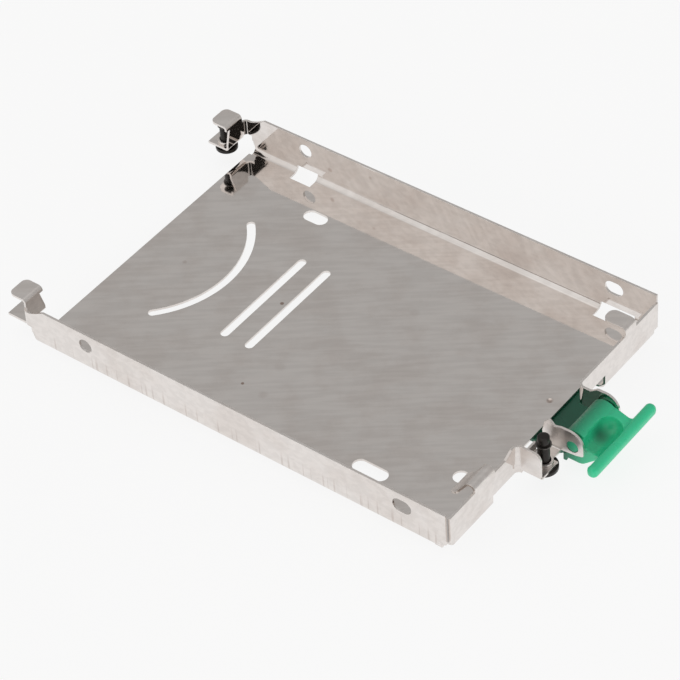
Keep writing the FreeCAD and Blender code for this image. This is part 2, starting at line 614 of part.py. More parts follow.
def tray():
    """The whole folded tray as one sheet."""
    shape = channel()
    near_hook = rear_hook(NEAR_HOOK_SHIFT)
    far_hook = mirrored(rear_hook(0))
    rear_collar = cylinder(COLLAR_R, COLLAR_HEIGHT + SEAM, V(REAR_SCREW_X, REAR_SCREW_Y, LIP_TOP - SEAM))
    dip = wall_dip()
    shape = shape.cut([dip, mirrored(dip)])
    shape = shape.fuse([near_front(), screw_pocket(), far_front(), spring_tab(), flat_tab(),
                        near_hook, far_hook, rear_collar])
    bore_r = SHANK_R + SHANK_CLEARANCE
    tools = corner_reliefs() + wall_cutters() + floor_cutters()
    for x, y in ((FRONT_SCREW_X, FRONT_SCREW_Y), (REAR_SCREW_X, REAR_SCREW_Y)):
        tools.append(cylinder(bore_r, SHEET + COLLAR_HEIGHT + 2 * OVERCUT, V(x, y, LIP_UNDER - OVERCUT)))
    reach = EAR_FAR_OUT_Y - EAR_NEAR_OUT_Y + 2 * OVERCUT
    start = V(PIVOT_X, EAR_NEAR_OUT_Y - OVERCUT, PIVOT_Z)
    tools.append(cylinder(EAR_HOLE_R, reach, start, V(0, 1, 0)))
    return shape.cut(tools).removeSplitter()


def screw(x, y, head_top, length):
    """Captive screw standing head down, with a groove for its ring."""
    bottom = head_top - SCREW_HEAD_HEIGHT
    tip = head_top + length
    groove = head_top + RING_HEIGHT_ON_SHANK
    groove_top = groove + RING_THICKNESS + 2 * RING_CLEARANCE
    section = [(0, bottom), (SCREW_HEAD_R - SCREW_HEAD_EDGE, bottom),
               (SCREW_HEAD_R, bottom + SCREW_HEAD_EDGE), (SCREW_HEAD_R, head_top),
               (SHANK_R, head_top), (SHANK_R, groove), (RING_GROOVE_R, groove),
               (RING_GROOVE_R, groove_top), (SHANK_R, groove_top), (SHANK_R, tip - SCREW_TIP_CHAMFER),
               (SHANK_R - SCREW_TIP_CHAMFER, tip), (0, tip)]
    wire = Part.makePolygon([V(r, 0, z) for r, z in section + section[:1]])
    body = Part.Face(wire).revolve(V(0, 0, 0), V(0, 0, 1), 360)
    half = DRIVER_SLOT_LENGTH / 2
    width = DRIVER_SLOT_WIDTH / 2
    for sx, sy in ((half, width), (width, half)):
        body = body.cut(box(-sx, sx, -sy, sy, bottom - OVERCUT, bottom + DRIVER_SLOT_DEPTH))
    body.translate(V(x, y, 0))
    return body


def screw_ring(x, y, head_top):
    """Retaining ring in the screw's groove."""
    base = V(x, y, head_top + RING_HEIGHT_ON_SHANK + RING_CLEARANCE)
    hole = cylinder(RING_GROOVE_R + RING_CLEARANCE, RING_THICKNESS, base)
    return cylinder(RING_OUT_R, RING_THICKNESS, base).cut(hole)


def lever_grip():
    """Cross bar that the finger pulls, with every edge rounded."""
    bar = box(GRIP_X - GRIP_THICK / 2, GRIP_X + GRIP_THICK / 2, GRIP_MID_Y - GRIP_LENGTH / 2,
              GRIP_MID_Y + GRIP_LENGTH / 2, GRIP_Z - GRIP_HEIGHT / 2, GRIP_Z + GRIP_HEIGHT / 2)
    return bar.makeFillet(GRIP_ROUND, bar.Edges)


def lever_web():
    """Body between the barrel and the cross bar."""
    inner_x = GRIP_X - GRIP_THICK / 2 + WEB_BITE
    low_z = GRIP_Z - GRIP_HEIGHT / 2 + WEB_BITE
    top_z = GRIP_Z + GRIP_HEIGHT / 2 - WEB_BITE
    brow = (PIVOT_X + BARREL_R * math.sin(WEB_BROW_ANGLE), PIVOT_Z + BARREL_R * math.cos(WEB_BROW_ANGLE))
    side = [(BELLY_REAR_X, BELLY_Z + BELLY_ROUND), (BELLY_REAR_X + BELLY_ROUND, BELLY_Z),
            (BELLY_FRONT_X, BELLY_Z), (inner_x, low_z), (inner_x, top_z), brow, (PIVOT_X, PIVOT_Z)]
    radii = [0, BELLY_ROUND / 2, BELLY_FRONT_ROUND, 0, 0, WEB_BROW_ROUND, 0]
    flare_near = LEVER_NEAR_Y - 2 * NEAR_FLARE_R
    flare_far = LEVER_FAR_Y + 2 * FAR_FLARE_R
    body = plate("XZ", flare_near, flare_far, side, radii)
    rear_x = BELLY_REAR_X - OVERCUT
    front_x = inner_x + OVERCUT
    plan = [(rear_x, LEVER_NEAR_Y), (inner_x, LEVER_NEAR_Y), (inner_x, flare_near), (front_x, flare_near),
            (front_x, flare_far), (inner_x, flare_far), (inner_x, LEVER_FAR_Y), (rear_x, LEVER_FAR_Y)]
    radii = [0, NEAR_FLARE_R, 0, 0, 0, 0, FAR_FLARE_R, 0]
    return body.common(plate("XY", 0, PIVOT_Z + 2 * BARREL_R, plan, radii))


def lever_tail():
    """Tail that reaches back under the floor's front edge."""
    low = TAIL_TOP - TAIL_THICK
    side = [(TAIL_REAR_X, low), (TAIL_NECK_X, low), (BELLY_REAR_X + BELLY_ROUND, BELLY_Z),
            (PIVOT_X, BELLY_Z), (PIVOT_X, PIVOT_Z - BARREL_R / 2), (BELLY_REAR_X, BELLY_Z + TAIL_ROOT_RISE),
            (TAIL_NECK_X, TAIL_TOP), (TAIL_REAR_X, TAIL_TOP)]
    radii = [0, TAIL_BEND, TAIL_BEND, 0, 0, TAIL_BEND, TAIL_BEND, 0]
    body = plate("XZ", TAIL_NEAR_Y, TAIL_FAR_Y, side, radii)
    plan = [(TAIL_REAR_X, TAIL_NEAR_Y), (PIVOT_X, TAIL_NEAR_Y), (PIVOT_X, LEVER_FAR_Y),
            (BELLY_REAR_X, LEVER_FAR_Y), (TAIL_NECK_X, LEVER_FAR_Y + TAIL_FLARE_START),
            (TAIL_FLARE_X, TAIL_FAR_Y - TAIL_TIP_LENGTH), (TAIL_FLARE_X - TAIL_TIP_SLANT, TAIL_FAR_Y),
            (TAIL_REAR_X, TAIL_FAR_Y)]
    radii = [TAIL_CORNER_R, 0, 0, 0, TAIL_BEND, TAIL_BEND, TAIL_BEND, TAIL_CORNER_R]
    return body.common(plate("XY", low, PIVOT_Z, plan, radii))


def latch_lever():
    """Latch lever with its barrel, pivot pins, grip and tail."""
    y_axis = V(0, 1, 0)
    barrel = cylinder(BARREL_R, LEVER_FAR_Y - LEVER_NEAR_Y, V(PIVOT_X, LEVER_NEAR_Y, PIVOT_Z), y_axis)
    boss_near = EAR_NEAR_OUT_Y + SHEET + BOSS_GAP
    boss_far = EAR_FAR_OUT_Y - SHEET - BOSS_GAP
    boss = cylinder(BOSS_R, boss_far - boss_near, V(PIVOT_X, boss_near, PIVOT_Z), y_axis)
    pin_near = EAR_NEAR_OUT_Y + PIN_INSET
    pin_far = EAR_FAR_OUT_Y - PIN_INSET
    pin = cylinder(PIN_R, pin_far - pin_near, V(PIVOT_X, pin_near, PIVOT_Z), y_axis)
    nib = box(NIB_X - NIB_WIDTH / 2, NIB_X + NIB_WIDTH / 2, LEVER_NEAR_Y, LEVER_NEAR_Y + NIB_WIDTH,
              NIB_BOTTOM, BELLY_Z + OVERCUT)
    shape = barrel.fuse([boss, pin, lever_web(), lever_grip(), lever_tail(), nib])
    scoop = cylinder(SCOOP_R, SCOOP_FAR_Y - SCOOP_NEAR_Y, V(SCOOP_X, SCOOP_NEAR_Y, SCOOP_Z), y_axis)
    ends = [Part.makeSphere(SCOOP_R, V(SCOOP_X, y, SCOOP_Z)) for y in (SCOOP_NEAR_Y, SCOOP_FAR_Y)]
    return shape.cut(scoop.fuse(ends)).removeSplitter()


FRONT_HEAD_TOP = LIP_UNDER - HEAD_SEAT_GAP
REAR_HEAD_TOP = FRONT_HEAD_TOP - REAR_SCREW_DROP
NODES = {
    "tray": tray(),
    "latch_lever": latch_lever(),
    "front_captive_screw": screw(FRONT_SCREW_X, FRONT_SCREW_Y, FRONT_HEAD_TOP, FRONT_SCREW_LENGTH),
    "front_screw_ring": screw_ring(FRONT_SCREW_X, FRONT_SCREW_Y, FRONT_HEAD_TOP),
    "rear_captive_screw": screw(REAR_SCREW_X, REAR_SCREW_Y, REAR_HEAD_TOP, REAR_SCREW_LENGTH),
    "rear_screw_ring": screw_ring(REAR_SCREW_X, REAR_SCREW_Y, REAR_HEAD_TOP),
}

os.makedirs("parts", exist_ok=True)
for name, shape in NODES.items():
    if shape.ShapeType == "Compound" and len(shape.Solids) == 1:
        shape = shape.Solids[0]
    bounds = shape.BoundBox
    print(name, len(shape.Solids), shape.isValid(), round(shape.Volume, 2),
          [round(v, 2) for v in (bounds.XMin, bounds.XMax, bounds.YMin, bounds.YMax)],
          [round(v, 2) for v in (bounds.ZMin, bounds.ZMax)])
    shape.exportStep("parts/%s.step" % name)
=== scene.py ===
import json
import logging
import math
from dataclasses import dataclass, field
from enum import Enum
from typing import Any

import bpy
from mathutils import Euler, Matrix, Vector

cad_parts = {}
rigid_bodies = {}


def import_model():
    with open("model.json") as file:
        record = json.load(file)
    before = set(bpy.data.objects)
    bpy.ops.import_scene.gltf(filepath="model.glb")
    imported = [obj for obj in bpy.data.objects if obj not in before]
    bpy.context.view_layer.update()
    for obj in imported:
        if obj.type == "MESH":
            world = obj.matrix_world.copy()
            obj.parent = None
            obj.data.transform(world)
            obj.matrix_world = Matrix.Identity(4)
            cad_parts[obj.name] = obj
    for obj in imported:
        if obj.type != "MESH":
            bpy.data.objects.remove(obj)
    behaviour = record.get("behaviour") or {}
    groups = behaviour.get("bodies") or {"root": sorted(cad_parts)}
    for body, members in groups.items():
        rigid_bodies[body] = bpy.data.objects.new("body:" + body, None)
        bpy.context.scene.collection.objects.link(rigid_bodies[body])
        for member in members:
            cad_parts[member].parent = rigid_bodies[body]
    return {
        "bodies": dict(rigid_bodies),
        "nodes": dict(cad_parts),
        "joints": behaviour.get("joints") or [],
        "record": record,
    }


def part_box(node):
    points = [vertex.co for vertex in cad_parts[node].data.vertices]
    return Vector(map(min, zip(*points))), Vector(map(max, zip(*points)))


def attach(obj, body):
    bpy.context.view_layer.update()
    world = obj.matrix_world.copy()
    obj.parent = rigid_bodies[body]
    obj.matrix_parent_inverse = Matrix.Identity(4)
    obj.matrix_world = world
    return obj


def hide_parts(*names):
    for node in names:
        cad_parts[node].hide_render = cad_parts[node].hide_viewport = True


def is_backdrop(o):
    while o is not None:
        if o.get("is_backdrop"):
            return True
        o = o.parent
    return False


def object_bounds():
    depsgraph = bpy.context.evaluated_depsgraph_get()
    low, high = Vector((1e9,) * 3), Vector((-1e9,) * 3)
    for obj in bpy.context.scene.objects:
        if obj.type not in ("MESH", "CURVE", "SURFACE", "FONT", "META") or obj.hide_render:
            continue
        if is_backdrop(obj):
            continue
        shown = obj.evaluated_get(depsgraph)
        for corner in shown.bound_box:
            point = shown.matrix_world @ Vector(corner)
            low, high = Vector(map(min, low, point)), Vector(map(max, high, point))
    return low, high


LOG = logging.getLogger("caddy")
MM = 0.001

Colour = tuple[float, float, float, float]
Point = tuple[float, float, float]
Pair = tuple[float, float]


class Slot(Enum):
    """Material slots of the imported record."""

    STEEL = "polished_steel"
    PLASTIC = "green_plastic"
    SCREW = "black_screw"
    RING = "ring_steel"


class Graph:
    """Adds shader nodes to one tree and joins them."""

    def __init__(self, tree: bpy.types.NodeTree) -> None:
        """Works on an existing tree.

        Args:
            tree: the node tree of a material, a group or a world.
        """
        self.tree = tree

    def add(self, kind: str, inputs: dict[Any, Any] | None = None, **settings: Any) -> bpy.types.Node:
        """Adds a node, sets it and feeds its inputs.

        Args:
            kind: the node's type name.
            inputs: values or output sockets, by the input's name or place.
            settings: the node's own properties.

        Returns:
            The new node.
        """
        node = self.tree.nodes.new(kind)
        for name, value in settings.items():
            setattr(node, name, value)
        for key, value in (inputs or {}).items():
            if isinstance(value, bpy.types.NodeSocket):
                self.tree.links.new(value, node.inputs[key])
            else:
                node.inputs[key].default_value = value
        return node

    def math(self, operation: str, *values: Any, clamp: bool = False) -> bpy.types.NodeSocket:
        """Result of a Math node.

        Args:
            operation: the Math node's operation.
            values: numbers or sockets, in order.
            clamp: keeps the result from 0 to 1.

        Returns:
            The node's output socket.
        """
        node = self.add("ShaderNodeMath", dict(enumerate(values)), operation=operation, use_clamp=clamp)
        return node.outputs[0]

    def remap(self, value: bpy.types.NodeSocket, low: float, high: float,
              out_low: float, out_high: float) -> bpy.types.NodeSocket:
        """Smooth step of a value from one range to another.

        Args:
            value: the socket to remap.
            low: the value that gives out_low.
            high: the value that gives out_high.
            out_low: the result at and below low.
            out_high: the result at and above high.

        Returns:
            The remapped socket.
        """
        node = self.add("ShaderNodeMapRange", {"Value": value, "From Min": low, "From Max": high,
                                               "To Min": out_low, "To Max": out_high},
                        interpolation_type="SMOOTHSTEP")
        return node.outputs["Result"]

    def mix(self, factor: Any, first: Any, second: Any) -> bpy.types.NodeSocket:
        """Colour between two colours.

        Args:
            factor: 0 gives the first colour and 1 the second.
            first: colour or socket.
            second: colour or socket.

        Returns:
            The mixed colour socket.
        """
        node = self.add("ShaderNodeMix", {0: factor, 6: first, 7: second}, data_type="RGBA")
        return node.outputs[2]


@dataclass
class FinishGroups:
    """Shader node groups that several finishes share, each built once."""

    edge_radius: float = 0.1 * MM
    edge_samples: int = 6
    edge_band: Pair = (0.80, 0.995)
    pitch: float = 1.1 * MM
    turn: float = 0.64
    stretch: float = 9.0
    ripple_detail: float = 2.0
    ripple_roughness: float = 0.45
    haze_scale: float = 95.0
    haze_detail: float = 4.0
    haze_roughness: float = 0.6
    speck_spacing: float = 9.0 * MM
    speck_size: float = 0.05
    speck_amount: float = 0.25
    built: dict[str, bpy.types.NodeTree] = field(default_factory=dict)

    def start(self, name: str, inputs: dict[str, float], outputs: dict[str, str]) -> tuple[Graph, Any, Any]:
        """Opens a new group with its sockets.

        Args:
            name: the group's name.
            inputs: float inputs with their defaults.
            outputs: output names with their socket types.

        Returns:
            The graph, the group's input node and its output node.
        """
        tree = bpy.data.node_groups.new(name, "ShaderNodeTree")
        for label, value in inputs.items():
            socket = tree.interface.new_socket(label, in_out="INPUT", socket_type="NodeSocketFloat")
            socket.default_value = value
        for label, kind in outputs.items():
            tree.interface.new_socket(label, in_out="OUTPUT", socket_type=kind)
        self.built[name] = tree
        graph = Graph(tree)
        return graph, graph.add("NodeGroupInput"), graph.add("NodeGroupOutput")

    def edges(self) -> bpy.types.NodeTree:
        """Group that finds cut edges and rounds them off in the shading.

        Returns:
            The group, with a Radius input, and Mask and Normal outputs.
        """
        if "cut_edges" in self.built:
            return self.built["cut_edges"]
        graph, given, out = self.start("cut_edges", {"Radius": self.edge_radius},
                                       {"Mask": "NodeSocketFloat", "Normal": "NodeSocketVector"})
        bevel = graph.add("ShaderNodeBevel", {"Radius": given.outputs["Radius"]},
                          samples=self.edge_samples)
        flat = graph.add("ShaderNodeNewGeometry")
        dot = graph.add("ShaderNodeVectorMath", {0: bevel.outputs[0], 1: flat.outputs["Normal"]},
                        operation="DOT_PRODUCT")
        mask = graph.remap(dot.outputs["Value"], *self.edge_band, 1.0, 0.0)
        graph.tree.links.new(mask, out.inputs["Mask"])
        graph.tree.links.new(bevel.outputs[0], out.inputs["Normal"])
        return graph.tree

    def grain(self) -> bpy.types.NodeTree:
        """Group for the drawn-out ripple and the haze on the sheet; the ripple bumps the steel and also
        darkens its colour as a painted reflection of rippled light.

        Returns:
            The group, with Pitch, Turn and Stretch inputs, and Ripple and Haze outputs.
        """
        if "ripple_and_haze" in self.built:
            return self.built["ripple_and_haze"]
        defaults = {"Pitch": self.pitch, "Turn": self.turn, "Stretch": self.stretch}
        graph, given, out = self.start("ripple_and_haze", defaults,
                                       {"Ripple": "NodeSocketFloat", "Haze": "NodeSocketFloat"})
        place = graph.add("ShaderNodeTexCoord")
        turn = graph.add("ShaderNodeVectorRotate", {"Vector": place.outputs["Object"],
                                                    "Angle": given.outputs["Turn"]},
                         rotation_type="Z_AXIS", invert=True)
        cut = graph.add("ShaderNodeSeparateXYZ", {0: turn.outputs[0]})
        long_way = graph.math("DIVIDE", cut.outputs[0], given.outputs["Stretch"])
        drawn = graph.add("ShaderNodeCombineXYZ", {0: long_way, 1: cut.outputs[1], 2: cut.outputs[2]})
        scale = graph.math("DIVIDE", 1.0, given.outputs["Pitch"])
        ripple = graph.add("ShaderNodeTexNoise", {"Vector": drawn.outputs[0], "Scale": scale,
                                                  "Detail": self.ripple_detail,
                                                  "Roughness": self.ripple_roughness})
        haze = graph.add("ShaderNodeTexNoise", {"Vector": place.outputs["Object"], "Scale": self.haze_scale,
                                                "Detail": self.haze_detail,
                                                "Roughness": self.haze_roughness})
        graph.tree.links.new(ripple.outputs[0], out.inputs["Ripple"])
        graph.tree.links.new(haze.outputs[0], out.inputs["Haze"])
        return graph.tree

    def specks(self) -> bpy.types.NodeTree:
        """Group for sparse small dark specks.

        Returns:
            The group, with Spacing, Size and Amount inputs, and a Mask output.
        """
        if "specks" in self.built:
            return self.built["specks"]
        defaults = {"Spacing": self.speck_spacing, "Size": self.speck_size, "Amount": self.speck_amount}
        graph, given, out = self.start("specks", defaults, {"Mask": "NodeSocketFloat"})
        place = graph.add("ShaderNodeTexCoord")
        scale = graph.math("DIVIDE", 1.0, given.outputs["Spacing"])
        cells = graph.add("ShaderNodeTexVoronoi", {"Vector": place.outputs["Object"], "Scale": scale})
        near = graph.math("LESS_THAN", cells.outputs["Distance"], given.outputs["Size"])
        lot = graph.add("ShaderNodeSeparateColor", {0: cells.outputs["Color"]})
        chosen = graph.math("LESS_THAN", lot.outputs[0], given.outputs["Amount"])
        graph.tree.links.new(graph.math("MULTIPLY", near, chosen), out.inputs["Mask"])
        return graph.tree


@dataclass(frozen=True)
class Stain:
    """A faint dark spot on the tray; its place and radius are in millimetres."""

    place: Point
    radius: float
    strength: float


STAINS = (
    Stain((43.9, 7.5, 0.0), 0.9, 0.75),
    Stain((-40.3, -0.6, 0.0), 0.7, 0.30),
    Stain((-5.1, -14.0, 0.0), 1.6, 0.14),
    Stain((-3.1, -22.0, 0.0), 1.3, 0.16),
    Stain((7.8, 13.1, 0.0), 1.4, 0.12),
    Stain((-29.8, 35.0, 4.1), 0.8, 0.50),
    Stain((-19.2, 35.0, 6.9), 0.6, 0.30),
)


@dataclass(frozen=True)
class SteelFinish:
    """Mirror-polished sheet steel with sheared edges, a few specks and faint ripples, which bump it and also
    darken its colour as a painted reflection.
    """

    name: str = "polished_sheet_steel"
    tint: Colour = (0.80, 0.755, 0.725, 1.0)
    haze_tint: Colour = (0.745, 0.69, 0.655, 1.0)
    edge_tint: Colour = (0.93, 0.885, 0.865, 1.0)
    speck_tint: Colour = (0.40, 0.31, 0.27, 1.0)
    smooth: float = 0.035
    hazy: float = 0.085
    edge_rough: float = 0.34
    rough_band: Pair = (0.35, 0.70)
    haze_band: Pair = (0.40, 0.66)
    ripple_depth: float = 0.012
    ripple_height: float = 0.2 * MM
    # Painted reflection: how dark the ripple stripes make the colour.
    painted_ripple_reflection: float = 0.94
    ripple_band: Pair = (0.38, 0.62)
    satin_from: float = 51.0 * MM
    satin_to: float = 51.6 * MM
    satin: float = 0.26
    lips_above: float = 4.5 * MM
    lip_facing: float = 0.3
    stains: tuple[Stain, ...] = STAINS
    stain_core: float = 0.3
    mark_pitch: float = 0.9 * MM
    mark_shade: float = 0.28
    mark_band: Pair = (0.60, 0.68)
    mark_side: float = -35.3 * MM
    mark_low: float = 2.0 * MM
    mark_top: float = 5.0 * MM
    edge_radius: float = 0.11 * MM

    def build(self, groups: FinishGroups) -> bpy.types.Material:
        """Makes the material.

        Args:
            groups: the shared shader groups.

        Returns:
            The material.
        """
        material = bpy.data.materials.new(self.name)
        material.use_nodes = True
        graph = Graph(material.node_tree)
        shader = material.node_tree.nodes["Principled BSDF"]
        edges = graph.add("ShaderNodeGroup", node_tree=groups.edges())
        edges.inputs["Radius"].default_value = self.edge_radius
        grain = graph.add("ShaderNodeGroup", node_tree=groups.grain())
        specks = graph.add("ShaderNodeGroup", node_tree=groups.specks())
        haze = graph.remap(grain.outputs["Haze"], *self.haze_band, 0.0, 1.0)
        colour = graph.mix(haze, self.tint, self.haze_tint)
        # Painted reflection: the ripple darkens the colour in stripes that stand for rippled light mirrored
        # in the steel.
        ripple = graph.remap(grain.outputs["Ripple"], *self.ripple_band, self.painted_ripple_reflection, 1.0)
        lines = graph.add("ShaderNodeVectorMath", {0: colour, "Scale": ripple}, operation="SCALE")
        colour = lines.outputs[0]
        place = graph.add("ShaderNodeTexCoord")
        along = graph.add("ShaderNodeSeparateXYZ", {0: place.outputs["Object"]})
        colour = graph.mix(self.bend_marks(graph, along), colour, self.speck_tint)
        colour = graph.mix(edges.outputs["Mask"], colour, self.edge_tint)
        colour = graph.mix(specks.outputs["Mask"], colour, self.speck_tint)
        for stain in self.stains:
            spot = tuple(value * MM for value in stain.place)
            away = graph.add("ShaderNodeVectorMath", {0: place.outputs["Object"], 1: spot},
                             operation="DISTANCE")
            faded = graph.remap(away.outputs["Value"], self.stain_core * stain.radius * MM,
                                stain.radius * MM, stain.strength, 0.0)
            colour = graph.mix(faded, colour, self.speck_tint)
        bump = graph.add("ShaderNodeBump", {"Strength": self.ripple_depth, "Distance": self.ripple_height,
                                            "Height": grain.outputs["Ripple"],
                                            "Normal": edges.outputs["Normal"]})
        graph.tree.links.new(colour, shader.inputs["Base Color"])
        graph.tree.links.new(self.roughness(graph, grain, edges, along), shader.inputs["Roughness"])
        graph.tree.links.new(bump.outputs[0], shader.inputs["Normal"])
        shader.inputs["Metallic"].default_value = 1.0
        return material

    def bend_marks(self, graph: Graph, along: bpy.types.Node) -> bpy.types.NodeSocket:
        """Finds the marks that bending left along the near wall's outer foot.

        Args:
            graph: the material's graph.
            along: the node that splits the place into its axes.

        Returns:
            The marks' mask.
        """
        marks = graph.add("ShaderNodeTexNoise", {"W": along.outputs[0], "Scale": 1.0 / self.mark_pitch,
                                                 "Detail": 1.0}, noise_dimensions="1D")
        marked = graph.remap(marks.outputs[0], *self.mark_band, 0.0, self.mark_shade)
        outer = graph.math("LESS_THAN", along.outputs[1], self.mark_side)
        height = graph.remap(along.outputs[2], self.mark_low, self.mark_top, 1.0, 0.0)
        return graph.math("MULTIPLY", marked, graph.math("MULTIPLY", outer, height))

    def roughness(self, graph: Graph, grain: bpy.types.Node, edges: bpy.types.Node,
                  along: bpy.types.Node) -> bpy.types.NodeSocket:
        """Adds up the haze, the satin of pocket and lips, and the sheared edges.

        Args:
            graph: the material's graph.
            grain: the ripple and haze group's node.
            edges: the cut edges group's node.
            along: the node that splits the place into its axes.

        Returns:
            The roughness.
        """
        rough = graph.remap(grain.outputs["Haze"], *self.rough_band, self.smooth, self.hazy)
        near_side = graph.math("LESS_THAN", along.outputs[1], 0.0)
        pocket = graph.remap(along.outputs[0], self.satin_from, self.satin_to, 0.0, self.satin)
        rough = graph.math("ADD", rough, graph.math("MULTIPLY", pocket, near_side))
        facing = graph.add("ShaderNodeSeparateXYZ", {0: edges.outputs["Normal"]})
        lip = graph.math("MULTIPLY", graph.math("GREATER_THAN", facing.outputs[2], self.lip_facing),
                         graph.math("GREATER_THAN", along.outputs[2], self.lips_above))
        rough = graph.math("ADD", rough, graph.math("MULTIPLY", lip, self.satin))
        return graph.math("ADD", rough, graph.math("MULTIPLY", edges.outputs["Mask"], self.edge_rough))


@dataclass(frozen=True)
class PlasticFinish:
    """Moulded green plastic with a soft gloss and a fine spark-eroded grain, and painted shade on the
    lever's tail end and in its finger scoop.
    """

    name: str = "moulded_green_plastic"
    colour: Colour = (0.035, 0.55, 0.28, 1.0)
    worn: Colour = (0.05, 0.50, 0.28, 1.0)
    # Painted shade: a dark green that stands in for the shade on the lever's tail and in its scoop.
    painted_shade_tint: Colour = (0.003, 0.085, 0.045, 1.0)
    # Painted shade in the finger scoop: its centre, reach and strength.
    hollow: Point = (60.0 * MM, 0.7 * MM, 5.6 * MM)
    hollow_r: float = 2.9 * MM
    hollow_shade: float = 0.78
    # Painted shade fades from full at full_painted_shade_to to none at painted_shade_gone_from, along the
    # lever's length.
    full_painted_shade_to: float = 53.0 * MM
    painted_shade_gone_from: float = 62.0 * MM
    gloss: float = 0.27
    dull: float = 0.38
    cloud_scale: float = 240.0
    cloud_band: Pair = (0.35, 0.65)
    grain_size: float = 0.16 * MM
    grain_detail: float = 3.0
    grain_depth: float = 0.05
    grain_height: float = 0.05 * MM
    edge_radius: float = 0.25 * MM
    edge_wear: float = 0.35
    glow: float = 0.10
    glow_radius: Point = (0.3, 1.0, 0.6)
    glow_scale: float = 0.8 * MM

    def build(self, groups: FinishGroups) -> bpy.types.Material:
        """Makes the material.

        Args:
            groups: the shared shader groups.

        Returns:
            The material.
        """
        material = bpy.data.materials.new(self.name)
        material.use_nodes = True
        graph = Graph(material.node_tree)
        shader = material.node_tree.nodes["Principled BSDF"]
        edges = graph.add("ShaderNodeGroup", node_tree=groups.edges())
        edges.inputs["Radius"].default_value = self.edge_radius
        place = graph.add("ShaderNodeTexCoord")
        fine = graph.add("ShaderNodeTexNoise", {"Vector": place.outputs["Object"],
                                                "Scale": 1.0 / self.grain_size,
                                                "Detail": self.grain_detail})
        cloud = graph.add("ShaderNodeTexNoise", {"Vector": place.outputs["Object"],
                                                 "Scale": self.cloud_scale})
        rub = graph.math("MULTIPLY", edges.outputs["Mask"], self.edge_wear)
        along = graph.add("ShaderNodeSeparateXYZ", {0: place.outputs["Object"]})
        # Painted shade: the colour darkens towards the tail, over the barrel's back and the tail, where the
        # lever lies in shade.
        out_of_painted_shade = graph.remap(along.outputs[0], self.full_painted_shade_to, self.painted_shade_gone_from, 0.0, 1.0)
        colour = graph.mix(out_of_painted_shade, self.painted_shade_tint, self.colour)
        # Painted shade: a dark soft spot in the finger scoop that stands for the scoop's depth.
        away = graph.add("ShaderNodeVectorMath", {0: place.outputs["Object"], 1: self.hollow},
                         operation="DISTANCE")
        painted_hollow_shade = graph.remap(away.outputs["Value"], 0.0, self.hollow_r, self.hollow_shade, 0.0)
        colour = graph.mix(painted_hollow_shade, colour, self.painted_shade_tint)
        colour = graph.mix(rub, colour, self.worn)
        rough = graph.remap(cloud.outputs[0], *self.cloud_band, self.gloss, self.dull)
        bump = graph.add("ShaderNodeBump", {"Strength": self.grain_depth, "Distance": self.grain_height,
                                            "Height": fine.outputs[0]})
        graph.tree.links.new(colour, shader.inputs["Base Color"])
        graph.tree.links.new(rough, shader.inputs["Roughness"])
        graph.tree.links.new(bump.outputs[0], shader.inputs["Normal"])
        shader.inputs["Subsurface Weight"].default_value = self.glow
        shader.inputs["Subsurface Radius"].default_value = self.glow_radius
        shader.inputs["Subsurface Scale"].default_value = self.glow_scale
        return material


@dataclass(frozen=True)
class BlackFinish:
    """Black oxide on steel, rubbed lighter along its edges."""

    name: str
    colour: Colour = (0.020, 0.017, 0.015, 1.0)
    rubbed: Colour = (0.16, 0.145, 0.135, 1.0)
    gloss: float = 0.24
    dull: float = 0.42
    metal: float = 0.55
    patch_scale: float = 900.0
    patch_detail: float = 3.0
    rough_band: Pair = (0.35, 0.65)
    wear_band: Pair = (0.42, 0.62)
    wear_amounts: Pair = (0.1, 0.8)
    pit_depth: float = 0.06
    pit_height: float = 0.05 * MM
    edge_radius: float = 0.08 * MM

    def build(self, groups: FinishGroups) -> bpy.types.Material:
        """Makes the material.

        Args:
            groups: the shared shader groups.

        Returns:
            The material.
        """
        material = bpy.data.materials.new(self.name)
        material.use_nodes = True
        graph = Graph(material.node_tree)
        shader = material.node_tree.nodes["Principled BSDF"]
        edges = graph.add("ShaderNodeGroup", node_tree=groups.edges())
        edges.inputs["Radius"].default_value = self.edge_radius
        place = graph.add("ShaderNodeTexCoord")
        patch = graph.add("ShaderNodeTexNoise", {"Vector": place.outputs["Object"],
                                                 "Scale": self.patch_scale,
                                                 "Detail": self.patch_detail})
        wear = graph.math("MULTIPLY", edges.outputs["Mask"],
                          graph.remap(patch.outputs[0], *self.wear_band, *self.wear_amounts))
        colour = graph.mix(wear, self.colour, self.rubbed)
        rough = graph.remap(patch.outputs[0], *self.rough_band, self.gloss, self.dull)
        bump = graph.add("ShaderNodeBump", {"Strength": self.pit_depth, "Distance": self.pit_height,
                                            "Height": patch.outputs[0],
                                            "Normal": edges.outputs["Normal"]})
        graph.tree.links.new(colour, shader.inputs["Base Color"])
        graph.tree.links.new(rough, shader.inputs["Roughness"])
        graph.tree.links.new(bump.outputs[0], shader.inputs["Normal"])
        shader.inputs["Metallic"].default_value = self.metal
        return material


